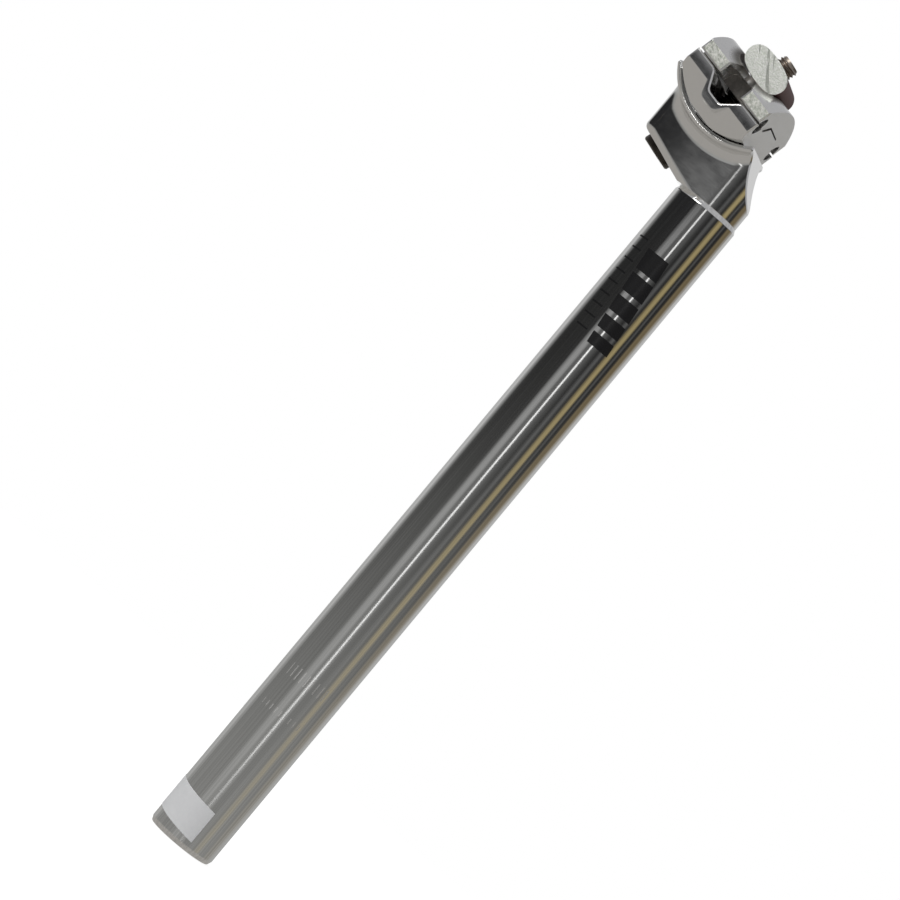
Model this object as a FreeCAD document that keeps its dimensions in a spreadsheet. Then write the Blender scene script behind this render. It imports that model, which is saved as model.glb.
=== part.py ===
# Bicycle seatpost with a single-bolt saddle clamp
#
# The tube stands along +Z with its foot at the origin, +X points to the front of the bicycle.
# A forged head is bonded into the top of the tube and carries the clamp behind the tube's axis.
# Cradle and upper clamp tilt together about a crosswise axis that runs through the bar nut,
# and the head's socket is a cylinder about that same axis.

import FreeCAD
import Part
import Sketcher
import math
import os
import re

# Driving dimensions, millimetres and degrees

SIZES = {
    # Tube
    "tube_diameter": 25.4,
    "tube_wall": 2.3,
    "tube_length": 277.0,
    "top_bevel": 0.75,
    "top_bevel_height": 1.4,
    "foot_bevel": 0.65,
    "foot_bevel_height": 1.5,
    # Where the clamp tilts, from the tube's axis and the tube's top
    "tilt_setback": 12.75,
    "tilt_rise": 45.0,
    "bolt_lean": 17.5,
    "clamp_pitch": 13.8,
    # Head
    "spigot_depth": 25.0,
    "bond_gap": 0.05,
    "neck_rise": 4.0,
    "head_rear": 33.0,
    "head_corner": 4.0,
    "block_top_drop": 10.2,
    "underside_drop": 42.0,
    "underside_lean": 20.5,
    "underside_round": 2.5,
    "socket_radius": 25.5,
    "rim_thickness": 2.2,
    "rim_width": 35.0,
    "rim_rear_angle": 42.5,
    "rim_front_angle": 100.0,
    "rim_end_break": 0.7,
    "flare_radius": 4.3,
    "front_relief_radius": 44.8,
    "front_relief_ahead": 0.4,
    "front_relief_rise": 37.3,
    # Bolt, washer and nut
    "bolt_diameter": 8.0,
    "bolt_length": 50.0,
    "bolt_head_diameter": 13.0,
    "bolt_head_height": 5.0,
    "bolt_head_bevel": 0.5,
    "bolt_tip_bevel": 0.8,
    "bolt_head_exposed": 1.9,
    "hex_key": 5.0,
    "hex_depth": 3.0,
    "bolt_hole_gap": 0.4,
    "counterbore_gap": 0.5,
    "washer_diameter": 13.6,
    "washer_thickness": 1.2,
    "nut_length": 18.8,
    "nut_thickness": 10.3,
    "nut_width": 28.0,
    "nut_rise": 2.2,
    "nut_end_radius": 4.6,
    "thread_gap": 0.15,
    # Saddle clamp
    "socket_gap": 0.3,
    "split_drop": 11.4,
    "clamp_length": 32.4,
    "clamp_width": 54.0,
    "rail_diameter": 7.0,
    "rail_spacing": 44.0,
    "lip_gap": 0.6,
    "ridge_base": 28.0,
    "ridge_top": 18.0,
    "ridge_height": 2.9,
    "ridge_gap": 0.6,
    "cradle_length": 33.2,
    "cradle_lip": 4.7,
    "cradle_foot_width": 34.0,
    "notch_mouth": 15.0,
    "notch_foot": 5.6,
    "notch_depth": 6.3,
    "notch_round": 2.3,
    "collar_mouth": 12.6,
    "collar_foot": 6.4,
    "collar_drop": 3.3,
    "collar_overlap": 0.5,
    "pad_height": 5.2,
    "crown_height": 12.0,
    "waist_mouth": 12.3,
    "waist_throat": 6.6,
    "waist_reach": 6.6,
    "waist_round": 4.0,
    "arch_width": 11.0,
    "arch_height": 5.6,
    "arch_reach": 12.0,
    "trough_end_gap": 1.0,
    "trough_floor_gap": 0.55,
    "trough_corner_gap": 0.9,
    "slot_gap": 0.5,
    "tilt_swing": 8.0,
    "edge_break": 0.5,
    "overrun": 1.0,
}

doc = FreeCAD.newDocument("seatpost")
sheet = doc.addObject("Spreadsheet::Sheet", "Sizes")
for row, (alias, size) in enumerate(SIZES.items(), start=1):
    sheet.set(f"A{row}", alias)
    sheet.set(f"B{row}", str(size))
    sheet.setAlias(f"B{row}", alias)
doc.recompute()

# Sizes that follow from the driving ones, as formulas

TUBE_RADIUS = "(tube_diameter / 2)"
BORE_RADIUS = "(tube_diameter / 2 - tube_wall)"
NECK_RADIUS = "(tube_diameter / 2 - top_bevel)"
TILT_HEIGHT = "(tube_length + tilt_rise)"
BOLT_RADIUS = "(bolt_diameter / 2)"
BOLT_SEAT = "(underside_drop + bolt_head_exposed - bolt_head_height)"
COUNTERBORE_FLOOR = f"({BOLT_SEAT} - washer_thickness)"
BELLY_RADIUS = "(socket_radius - socket_gap)"
HALF_WIDTH = "(clamp_width / 2)"
RAIL_OFFSET = "(rail_spacing / 2)"
LIP_SPLIT = "(split_drop + lip_gap / 2)"
JAW_SPLIT = "(split_drop - lip_gap / 2)"
ALL_ACROSS = "(2 * clamp_width)"
RIM_ANGLES = ("rim_rear_angle + bolt_lean", "rim_front_angle - bolt_lean")


def formula(text):
    """Writes a formula of plain size names as one that points at the sheet's cells."""
    return re.sub(r"[a-z_]+", lambda word: f"Sizes.{word[0]}" if word[0] in SIZES else word[0], text)


def number(text):
    """The present value of a formula."""
    return float(sheet.evalExpression(formula(text)))


def bind(item, **formulas):
    """Ties properties of an object to the sheet."""
    for name, text in formulas.items():
        item.setExpression(name.replace("__", "."), formula(text))


# Sketches

def new_sketch(body, name, plane, right="0", up="0", out="0", turn=None):
    """Starts a sketch on one of the body's own planes, shifted in it and out of it, and turned clockwise."""
    sketch = body.newObject("Sketcher::SketchObject", name)
    support = [item for item in body.Origin.OriginFeatures if item.Role == plane][0]
    sketch.AttachmentSupport = [(support, "")]
    sketch.MapMode = "FlatFace"
    if turn:
        clockwise = FreeCAD.Rotation(FreeCAD.Vector(0, 0, -1), number(turn))
        sketch.AttachmentOffset = FreeCAD.Placement(FreeCAD.Vector(), clockwise)
        bind(sketch, AttachmentOffset__Rotation__Angle=turn)
    bind(sketch, AttachmentOffset__Base__x=right, AttachmentOffset__Base__y=up)
    bind(sketch, AttachmentOffset__Base__z=out)
    return sketch


def fix(sketch, kind, geometry, point, text):
    """Dimensions one coordinate of a sketch point from the sketch's origin."""
    index = sketch.addConstraint(Sketcher.Constraint(kind, -1, 1, geometry, point, number(text)))
    bind(sketch, **{f"Constraints[{index}]": text})


def arc_between(start, stop, radius):
    """The shorter counterclockwise arc from start to stop."""
    chord = stop - start
    rise = math.sqrt(max(radius ** 2 - chord.Length ** 2 / 4, 0))
    left = FreeCAD.Vector(-chord.y, chord.x, 0).normalize()
    centre = (start + stop) / 2 + left * rise
    angles = [math.atan2(point.y - centre.y, point.x - centre.x) for point in (start, stop)]
    if angles[1] < angles[0]:
        angles[1] += 2 * math.pi
    return Part.ArcOfCircle(Part.Circle(centre, FreeCAD.Vector(0, 0, 1), radius), *angles)


def outline(body, name, plane, corners, arcs=None, **place):
    """A closed sketch through corners, counterclockwise.

    arcs gives the radius of each round side, below zero where the side bulges inward.
    """
    sketch = new_sketch(body, name, plane, **place)
    arcs = arcs or {}
    points = [FreeCAD.Vector(number(right), number(up), 0) for right, up in corners]
    first_ends = []
    for index, start in enumerate(points):
        stop = points[(index + 1) % len(points)]
        radius = number(arcs.get(index, "0"))
        if radius > 0:
            sketch.addGeometry(arc_between(start, stop, radius))
        elif radius < 0:
            sketch.addGeometry(arc_between(stop, start, -radius))
        else:
            sketch.addGeometry(Part.LineSegment(start, stop))
        first_ends.append(2 if radius < 0 else 1)
    for index in range(len(points)):
        after = (index + 1) % len(points)
        last_end = 3 - first_ends[index]
        sketch.addConstraint(Sketcher.Constraint("Coincident", index, last_end, after, first_ends[after]))
    for index, (right, up) in enumerate(corners):
        fix(sketch, "DistanceX", index, first_ends[index], right)
        fix(sketch, "DistanceY", index, first_ends[index], up)
    for index, radius in arcs.items():
        limit = sketch.addConstraint(Sketcher.Constraint("Radius", index, abs(number(radius))))
        bind(sketch, **{f"Constraints[{limit}]": f"abs({radius})"})
    return sketch


def circles(body, name, plane, rings, **place):
    """A sketch of whole circles, each given by its centre and radius."""
    sketch = new_sketch(body, name, plane, **place)
    for index, (right, up, radius) in enumerate(rings):
        centre = FreeCAD.Vector(number(right), number(up), 0)
        sketch.addGeometry(Part.Circle(centre, FreeCAD.Vector(0, 0, 1), number(radius)))
        fix(sketch, "DistanceX", index, 3, right)
        fix(sketch, "DistanceY", index, 3, up)
        limit = sketch.addConstraint(Sketcher.Constraint("Radius", index, number(radius)))
        bind(sketch, **{f"Constraints[{limit}]": radius})
    return sketch


# Features

def new_body(name):
    """An empty body with its label."""
    body = doc.addObject("PartDesign::Body", name)
    body.Label = name
    return body


def place_on_tilt_axis(body, lean):
    """Sets a body, drawn about its own origin, on the tilt axis and leans it forward."""
    lean_axis = FreeCAD.Rotation(FreeCAD.Vector(0, 1, 0), number(lean))
    body.Placement = FreeCAD.Placement(FreeCAD.Vector(), lean_axis)
    bind(body, Placement__Base__x="-tilt_setback", Placement__Base__z=TILT_HEIGHT)
    bind(body, Placement__Rotation__Angle=lean)


def extrude(body, kind, name, sketch, length, both_ways=True, backward=False):
    """A Pad or a Pocket of a given length, to both sides of its sketch or to one."""
    feature = body.newObject(f"PartDesign::{kind}", name)
    feature.Profile = sketch
    feature.SideType = "Symmetric" if both_ways else "One side"
    feature.Reversed = backward
    bind(feature, Length=length)
    doc.recompute()
    return feature


def spin(body, kind, name, sketch, axis="V_Axis", angles=None):
    """A Revolution or a Groove about one of the sketch's axes, all the way round or by two angles."""
    feature = body.newObject(f"PartDesign::{kind}", name)
    feature.Profile = sketch
    feature.ReferenceAxis = (sketch, [axis])
    feature.Angle = 360
    if angles:
        feature.Type = "TwoAngles"
        bind(feature, Angle=angles[0], Angle2=angles[1])
    doc.recompute()
    return feature


def dress_edges(body, kind, name, chosen, **size):
    """A Fillet or a Chamfer on the edges of the body so far that the test chooses."""
    base = body.Tip
    names = [f"Edge{index}" for index, edge in enumerate(base.Shape.Edges, start=1) if chosen(edge)]
    feature = body.newObject(f"PartDesign::{kind}", name)
    feature.Base = (base, names)
    bind(feature, **size)
    doc.recompute()
    return feature


def round_edges(body, name, radius, chosen):
    """Rounds edges."""
    return dress_edges(body, "Fillet", name, chosen, Radius=radius)


def break_edges(body, name, size, chosen):
    """Takes the sharpness off edges with a small bevel."""
    return dress_edges(body, "Chamfer", name, chosen, Size=size)


def points_along(edge):
    """A few points spread along an edge."""
    first, last = edge.ParameterRange
    return [edge.valueAt(first + (last - first) * share) for share in (0.0, 0.25, 0.5, 0.75, 1.0)]


def near(value, target):
    """Whether two lengths agree."""
    return abs(value - target) < 1e-4


# Tube

def make_tube():
    """A turned tube, bevelled outside at both ends."""
    body = new_body("post_tube")
    half_section = outline(body, "tube_section", "XZ_Plane", [
        (BORE_RADIUS, "0"),
        (f"{TUBE_RADIUS} - foot_bevel", "0"),
        (TUBE_RADIUS, "foot_bevel_height"),
        (TUBE_RADIUS, "tube_length - top_bevel_height"),
        (NECK_RADIUS, "tube_length"),
        (BORE_RADIUS, "tube_length"),
    ])
    spin(body, "Revolution", "tube_wall_turned", half_section)
    return body


# Head

def bolt_frame():
    """Sketch place on the middle plane with its origin on the tilt axis and its upright along the bolt."""
    return {"right": "-tilt_setback", "up": TILT_HEIGHT, "turn": "bolt_lean"}


def from_tilt_axis(point):
    """Distance of a point of the head from the tilt axis."""
    return math.hypot(point.x + number("tilt_setback"), point.z - number(TILT_HEIGHT))


def make_head():
    """Forged head: block, curved rim with a flare under it, neck and spigot, bolt hole."""
    body = new_body("post_head")

    # Rim: a curved plate, turned about the tilt axis, its edges rounded below and bevelled above
    bead = "(rim_thickness / 2)"
    half_rim = f"(rim_width / 2 - {bead})"
    outer = "(socket_radius + rim_thickness)"
    section = outline(body, "rim_section", "YZ_Plane", [
        (f"-{half_rim}", f"-{outer}"),
        (half_rim, f"-{outer}"),
        ("rim_width / 2", f"{bead} - {outer}"),
        (half_rim, "-socket_radius"),
        (f"-{half_rim}", "-socket_radius"),
        ("-rim_width / 2", f"{bead} - {outer}"),
    ], arcs={side: bead for side in (1, 5)}, up=TILT_HEIGHT, out="-tilt_setback")
    spin(body, "Revolution", "rim_plate", section, axis="H_Axis", angles=RIM_ANGLES)

    # Block: as wide as the neck, round in front, with rounded corners behind
    plan = outline(body, "block_plan", "XY_Plane", [
        ("0", f"-{NECK_RADIUS}"),
        (NECK_RADIUS, "0"),
        ("0", NECK_RADIUS),
        ("head_corner - head_rear", NECK_RADIUS),
        ("-head_rear", f"{NECK_RADIUS} - head_corner"),
        ("-head_rear", f"head_corner - {NECK_RADIUS}"),
        ("head_corner - head_rear", f"-{NECK_RADIUS}"),
    ], arcs={0: NECK_RADIUS, 1: NECK_RADIUS, 3: "head_corner", 5: "head_corner"},
        out=f"{TILT_HEIGHT} - block_top_drop")
    extrude(body, "Pad", "block", plan, "underside_drop", both_ways=False, backward=True)

    # Underside: nearly square to the bolt, with a rounded edge all round
    under_back = "(-tilt_setback - underside_drop * sin(bolt_lean))"
    under_up = f"({TILT_HEIGHT} - underside_drop * cos(bolt_lean))"
    below = outline(body, "underside_cut", "XZ_Plane", [
        ("-2 * head_rear", "-underside_drop"),
        ("2 * head_rear", "-underside_drop"),
        ("2 * head_rear", "0"),
        ("-2 * head_rear", "0"),
    ], right=under_back, up=under_up, turn="underside_lean")
    extrude(body, "Pocket", "underside", below, ALL_ACROSS)
    under = FreeCAD.Vector(number(under_back), 0, number(under_up))
    lean = math.radians(number("underside_lean"))
    under_normal = FreeCAD.Vector(math.sin(lean), 0, math.cos(lean))
    round_edges(body, "underside_edge", "underside_round", lambda edge: all(
        near((point - under).dot(under_normal), 0) for point in points_along(edge)))
    tube_space = outline(body, "tube_space", "XZ_Plane", [
        ("-head_rear", "tube_length - underside_drop"),
        ("head_rear", "tube_length - underside_drop"),
        ("head_rear", "tube_length"),
        ("-head_rear", "tube_length"),
    ])
    extrude(body, "Pocket", "tube_seat", tube_space, ALL_ACROSS)

    socket = circles(body, "socket_circle", "XZ_Plane", [("0", "0", "socket_radius")], **bolt_frame())
    extrude(body, "Pocket", "socket", socket, ALL_ACROSS)

    # Flare: hollow curve from the block's walls out to the rim
    rim_back = number(outer)
    half_block = number(NECK_RADIUS)
    round_edges(body, "flare", "flare_radius", lambda edge: all(
        near(from_tilt_axis(point), rim_back) and abs(point.y) < half_block + 1e-4
        for point in points_along(edge)))

    # Front: scooped back from the neck to the rim's front end
    scoop_ahead = "front_relief_ahead + front_relief_radius"
    scoop_up = "tube_length + front_relief_rise"
    scoop = circles(body, "front_circle", "XZ_Plane", [
        (scoop_ahead, scoop_up, "front_relief_radius"),
    ])
    extrude(body, "Pocket", "front_relief", scoop, ALL_ACROSS)
    scoop_middle = FreeCAD.Vector(number(scoop_ahead), 0, number(scoop_up))
    scoop_radius = number("front_relief_radius")
    break_edges(body, "front_edge", "edge_break", lambda edge: all(
        near(math.hypot(point.x - scoop_middle.x, point.z - scoop_middle.z), scoop_radius)
        for point in points_along(edge)))

    # Rear end of the rim, broken all round
    rear_angle = math.radians(number(RIM_ANGLES[0]))
    rear_normal = FreeCAD.Vector(-math.cos(rear_angle), 0, math.sin(rear_angle))
    tilt_axis = FreeCAD.Vector(-number("tilt_setback"), 0, number(TILT_HEIGHT))
    break_edges(body, "rim_rear_end", "rim_end_break", lambda edge: all(
        near((point - tilt_axis).dot(rear_normal), 0) for point in points_along(edge)))

    # Neck on the tube's top face, spigot in its bore
    turned = outline(body, "neck_section", "XZ_Plane", [
        ("0", "tube_length - spigot_depth"),
        (f"{BORE_RADIUS} - bond_gap", "tube_length - spigot_depth"),
        (f"{BORE_RADIUS} - bond_gap", "tube_length"),
        (NECK_RADIUS, "tube_length"),
        (NECK_RADIUS, "tube_length + neck_rise"),
        ("0", "tube_length + neck_rise"),
    ])
    spin(body, "Revolution", "neck_and_spigot", turned)

    # Bolt hole with the counterbore for washer and bolt head
    hole = f"({BOLT_RADIUS} + bolt_hole_gap)"
    pocket = "(bolt_head_diameter / 2 + counterbore_gap)"
    drilled = outline(body, "bolt_hole_section", "XZ_Plane", [
        ("0", "-2 * underside_drop"),
        (pocket, "-2 * underside_drop"),
        (pocket, f"-{COUNTERBORE_FLOOR}"),
        (hole, f"-{COUNTERBORE_FLOOR}"),
        (hole, "-split_drop"),
        ("0", "-split_drop"),
    ], **bolt_frame())
    spin(body, "Groove", "bolt_hole", drilled)
    return body


# Lower half of the saddle clamp

def bolt_slot(body, depth):
    """A slot that lets the clamp tilt past the bolt, long enough at its deepest end."""
    half = f"({BOLT_RADIUS} + slot_gap)"
    reach = f"({depth} * tan(tilt_swing))"
    slot = outline(body, "bolt_slot_plan", "XY_Plane", [
        (f"-{reach}", f"-{half}"),
        (reach, f"-{half}"),
        (f"{reach} + {half}", "0"),
        (reach, half),
        (f"-{reach}", half),
        (f"-{reach} - {half}", "0"),
    ], arcs={side: half for side in (1, 2, 4, 5)})
    extrude(body, "Pocket", "bolt_slot", slot, "4 * socket_radius")


def rail_grooves(body):
    """Half-round grooves for the two saddle rails."""
    rails = circles(body, "rail_circles", "YZ_Plane", [
        (RAIL_OFFSET, "-split_drop", "rail_diameter / 2"),
        (f"-{RAIL_OFFSET}", "-split_drop", "rail_diameter / 2"),
    ])
    extrude(body, "Pocket", "rail_grooves", rails, "2 * clamp_length")


def looks_down(shape, edge):
    """Whether an edge borders a face that looks downward."""
    middle = points_along(edge)[2]
    faces = shape.ancestorsOfType(edge, Part.Face)
    return any(face.normalAt(*face.Surface.parameter(middle)).z < -0.1 for face in faces)


def on_side(edge):
    """Whether an edge bounds the clamp's outermost side faces."""
    return all(near(abs(point.y), number(HALF_WIDTH)) for point in points_along(edge))


def notch_shape(foot, mouth, floor, brim, top):
    """Corners and arcs of a notch whose sloping walls run in curves into its floor and out over its brim."""
    run = f"(({mouth} - {foot}) / 2)"
    rise = f"({floor} - {brim})"
    wall = f"sqrt({run}^2 + {rise}^2)"
    curve = f"(notch_round * ({wall} - {run}) / {rise})"
    curve_run = f"({curve} * {run} / {wall})"
    curve_rise = f"({curve} * {rise} / {wall})"
    right_side = [
        (f"{foot} / 2 - {curve}", f"-{floor}"),
        (f"{foot} / 2 + {curve_run}", f"{curve_rise} - {floor}"),
        (f"{mouth} / 2 - {curve_run}", f"-{curve_rise} - {brim}"),
        (f"{mouth} / 2 + {curve}", f"-{brim}"),
        (f"{mouth} / 2 + {curve}", top),
    ]
    left_side = [(f"-({right})", up) for right, up in reversed(right_side)]
    return right_side + left_side, {0: "notch_round", 2: "-notch_round", 6: "-notch_round", 8: "notch_round"}


def make_cradle():
    """Cradle: rail grooves and a ridge on top, a round belly below, notched lips at the sides."""
    body = new_body("lower_cradle")
    foot_rise = f"({BELLY_RADIUS} - split_drop - cradle_lip)"
    side_slope = f"(({HALF_WIDTH} - cradle_foot_width / 2) / {foot_rise})"
    foot = f"(cradle_foot_width / 2 - overrun * {side_slope})"
    section = outline(body, "cradle_section", "YZ_Plane", [
        (f"-{foot}", f"-{BELLY_RADIUS} - overrun"),
        (foot, f"-{BELLY_RADIUS} - overrun"),
        (HALF_WIDTH, "-split_drop - cradle_lip"),
        (HALF_WIDTH, f"-{LIP_SPLIT}"),
        (RAIL_OFFSET, f"-{LIP_SPLIT}"),
        (RAIL_OFFSET, "-split_drop"),
        ("ridge_base / 2", "-split_drop"),
        ("ridge_top / 2", "ridge_height - split_drop"),
        ("-ridge_top / 2", "ridge_height - split_drop"),
        ("-ridge_base / 2", "-split_drop"),
        (f"-{RAIL_OFFSET}", "-split_drop"),
        (f"-{RAIL_OFFSET}", f"-{LIP_SPLIT}"),
        (f"-{HALF_WIDTH}", f"-{LIP_SPLIT}"),
        (f"-{HALF_WIDTH}", "-split_drop - cradle_lip"),
    ])
    extrude(body, "Pad", "cradle_block", section, "cradle_length")

    # Collar of each side notch, standing out from the sloping flank
    notch_floor = "(split_drop + notch_depth)"
    corners, arcs = notch_shape("collar_foot", "collar_mouth", f"({notch_floor} + collar_drop)",
                                "(split_drop + cradle_lip - collar_overlap)", "-split_drop - cradle_lip / 2")
    collar = outline(body, "notch_collar_outline", "XZ_Plane", corners, arcs)
    extrude(body, "Pad", "notch_collars", collar, "clamp_width")

    # Belly that turns in the head's socket
    belly = circles(body, "belly_circles", "XZ_Plane", [
        ("0", "0", BELLY_RADIUS),
        ("0", "0", "2 * socket_radius"),
    ])
    extrude(body, "Pocket", "belly", belly, ALL_ACROSS)
    rail_grooves(body)

    # Notch across the lips and the ridge, where the bolt is seen
    corners, arcs = notch_shape("notch_foot", "notch_mouth", notch_floor, LIP_SPLIT,
                                "2 * ridge_height - split_drop")
    notch = outline(body, "notch_outline", "XZ_Plane", corners, arcs)
    extrude(body, "Pocket", "notch", notch, ALL_ACROSS)
    bolt_slot(body, BELLY_RADIUS)
    notched = body.Tip.Shape
    break_edges(body, "lip_edges", "edge_break", lambda edge: on_side(edge) and not looks_down(notched, edge))
    place_on_tilt_axis(body, "clamp_pitch")
    return body


# Upper half of the saddle clamp

def oval(length, thickness, end_radius):
    """Corners and arcs of an oval of four arcs that run into each other."""
    end_offset = f"({length} / 2 - {end_radius})"
    half = f"({thickness} / 2)"
    face_radius = f"(({end_offset}^2 + {half}^2 - {end_radius}^2) / (2 * ({half} - {end_radius})))"
    join_right = f"({face_radius} * {end_offset} / ({face_radius} - {end_radius}))"
    join_up = f"(({face_radius} - {half}) * {end_radius} / ({face_radius} - {end_radius}))"
    corners = [
        (f"-{join_right}", f"-{join_up}"),
        (join_right, f"-{join_up}"),
        (join_right, join_up),
        (f"-{join_right}", join_up),
    ]
    return corners, {0: face_radius, 1: end_radius, 2: face_radius, 3: end_radius}


def make_upper_clamp():
    """Upper clamp: domed block with four pads, waist notches, arches, rail grooves and the nut's trough."""
    body = new_body("upper_clamp")
    sagitta = "(crown_height - pad_height)"
    dome_radius = f"(({HALF_WIDTH}^2 + {sagitta}^2) / (2 * {sagitta}))"
    recess_base = "(ridge_base / 2 + ridge_gap)"
    recess_top = "(ridge_top / 2 + ridge_gap)"
    recess_roof = "(split_drop - ridge_height - ridge_gap)"
    section = outline(body, "clamp_section", "YZ_Plane", [
        (f"-{HALF_WIDTH}", f"-{JAW_SPLIT}"),
        (f"-{RAIL_OFFSET}", f"-{JAW_SPLIT}"),
        (f"-{RAIL_OFFSET}", "-split_drop"),
        (f"-{recess_base}", "-split_drop"),
        (f"-{recess_top}", f"-{recess_roof}"),
        (recess_top, f"-{recess_roof}"),
        (recess_base, "-split_drop"),
        (RAIL_OFFSET, "-split_drop"),
        (RAIL_OFFSET, f"-{JAW_SPLIT}"),
        (HALF_WIDTH, f"-{JAW_SPLIT}"),
        (HALF_WIDTH, "pad_height - split_drop"),
        (f"-{HALF_WIDTH}", "pad_height - split_drop"),
    ], arcs={10: dome_radius})
    extrude(body, "Pad", "domed_block", section, "clamp_length")
    rail_grooves(body)

    # Trough across the crown, with room for the nut to rock
    corners, arcs = oval("(nut_length + 2 * trough_end_gap)", "(nut_thickness + 2 * trough_floor_gap)",
                         "(nut_end_radius + trough_corner_gap)")
    trough = outline(body, "trough_outline", "XZ_Plane", corners, arcs, up="nut_rise")
    extrude(body, "Pocket", "nut_trough", trough, ALL_ACROSS)

    # Waist between the pads, and the arch under it, on each side
    mouth = "(waist_mouth / 2)"
    throat = "(waist_throat / 2)"
    waist_floor = f"({HALF_WIDTH} - waist_reach)"
    arch_half = "(arch_width / 2)"
    arch_spring = "(split_drop - arch_height / 2)"
    arch_crown = "(split_drop - arch_height)"
    arch_corner = "(arch_height / 2 + arch_width / 8)"
    for side, sign in (("near", "-"), ("far", "")):
        facing = [(throat, waist_floor), (mouth, f"({HALF_WIDTH} + overrun)")]
        ordered = facing if side == "far" else facing[::-1]
        (inner_half, inner_y), (outer_half, outer_y) = ordered
        waist = outline(body, f"{side}_waist_plan", "XY_Plane", [
            (f"-{inner_half}", f"{sign}{inner_y}"),
            (inner_half, f"{sign}{inner_y}"),
            (outer_half, f"{sign}{outer_y}"),
            (f"-{outer_half}", f"{sign}{outer_y}"),
        ], arcs={0 if side == "far" else 2: "waist_round"})
        extrude(body, "Pocket", f"{side}_waist", waist, "4 * split_drop")
        arch = outline(body, f"{side}_arch_outline", "XZ_Plane", [
            (f"-{arch_half}", "-split_drop - lip_gap"),
            (arch_half, "-split_drop - lip_gap"),
            (arch_half, f"-{arch_spring}"),
            ("arch_width / 4", f"-{arch_crown}"),
            ("-arch_width / 4", f"-{arch_crown}"),
            (f"-{arch_half}", f"-{arch_spring}"),
        ], arcs={2: arch_corner, 4: arch_corner},
            out=f"{'' if side == 'near' else '-'}{HALF_WIDTH}")
        extrude(body, "Pocket", f"{side}_arch", arch, "arch_reach", both_ways=False, backward=side == "far")
    bolt_slot(body, "split_drop")
    break_edges(body, "pad_edges", "edge_break", on_side)
    place_on_tilt_axis(body, "clamp_pitch")
    return body


# Bar nut, bolt and washer

def make_nut():
    """Oval bar, sawn off square at both ends, with the threaded hole across it."""
    body = new_body("clamp_nut")
    corners, arcs = oval("nut_length", "nut_thickness", "nut_end_radius")
    section = outline(body, "nut_section", "XZ_Plane", corners, arcs, up="nut_rise")
    extrude(body, "Pad", "nut_bar", section, "nut_width")
    hole = circles(body, "nut_hole_circle", "XY_Plane", [("0", "0", f"{BOLT_RADIUS} + thread_gap")])
    extrude(body, "Pocket", "nut_hole", hole, "4 * nut_thickness")
    place_on_tilt_axis(body, "bolt_lean")
    return body


def make_bolt():
    """Low-head socket bolt, head down."""
    body = new_body("clamp_bolt")
    head = "(bolt_head_diameter / 2)"
    head_foot = f"({BOLT_SEAT} + bolt_head_height)"
    tip = f"(bolt_length - {BOLT_SEAT})"
    section = outline(body, "bolt_section", "XZ_Plane", [
        ("0", f"-{head_foot}"),
        (f"{head} - bolt_head_bevel", f"-{head_foot}"),
        (head, f"bolt_head_bevel - {head_foot}"),
        (head, f"-{BOLT_SEAT}"),
        (BOLT_RADIUS, f"-{BOLT_SEAT}"),
        (BOLT_RADIUS, f"{tip} - bolt_tip_bevel"),
        (f"{BOLT_RADIUS} - bolt_tip_bevel", tip),
        ("0", tip),
    ])
    spin(body, "Revolution", "bolt_turned", section)
    corner = "(hex_key / sqrt(3))"
    hexagon = outline(body, "hex_outline", "XY_Plane", [
        (f"{corner} * cos({60 * turn})", f"{corner} * sin({60 * turn})") for turn in range(6)
    ], out=f"-{head_foot}")
    extrude(body, "Pocket", "hex_socket", hexagon, "hex_depth", both_ways=False, backward=True)
    place_on_tilt_axis(body, "bolt_lean")
    return body


def make_washer():
    """Flat washer on the counterbore's floor."""
    body = new_body("bolt_washer")
    ring = circles(body, "washer_circles", "XY_Plane", [
        ("0", "0", "washer_diameter / 2"),
        ("0", "0", f"{BOLT_RADIUS} + bolt_hole_gap"),
    ], out=f"-{BOLT_SEAT}")
    extrude(body, "Pad", "washer_ring", ring, "washer_thickness", both_ways=False)
    place_on_tilt_axis(body, "bolt_lean")
    return body


# Build, check and write

parts = [
    make_tube(),
    make_head(),
    make_cradle(),
    make_upper_clamp(),
    make_nut(),
    make_bolt(),
    make_washer(),
]
doc.recompute()
for item in doc.Objects:
    if "Invalid" in item.State or "Error" in item.State:
        raise RuntimeError(f"{item.Label} did not build: {item.State}")
os.makedirs("parts", exist_ok=True)
for part in parts:
    if part.Shape.isNull() or not part.Shape.isValid():
        raise RuntimeError(f"{part.Label} has no valid shape")
for part in parts:
    part.Shape.exportStep(os.path.join("parts", f"{part.Label}.step"))
    box = part.Shape.BoundBox
    print(f"{part.Label}: {len(part.Shape.Solids)} solid, {part.Shape.Volume:.0f} mm3,",
          f"{box.XLength:.2f} x {box.YLength:.2f} x {box.ZLength:.2f} mm")
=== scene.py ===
# %% [markdown]
# # A polished bicycle seatpost
#
# The engineering model of the seatpost is already made: a tube, a forged head, two clamp halves,
# a bar nut, a bolt and a washer, each in its true place. Here it gets its looks.
# Everything is in metres, with the foot of the tube at the origin and +Z up along the tube.

# %% Load the model
import math

import bmesh
import bpy
from mathutils import Matrix, Vector


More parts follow.
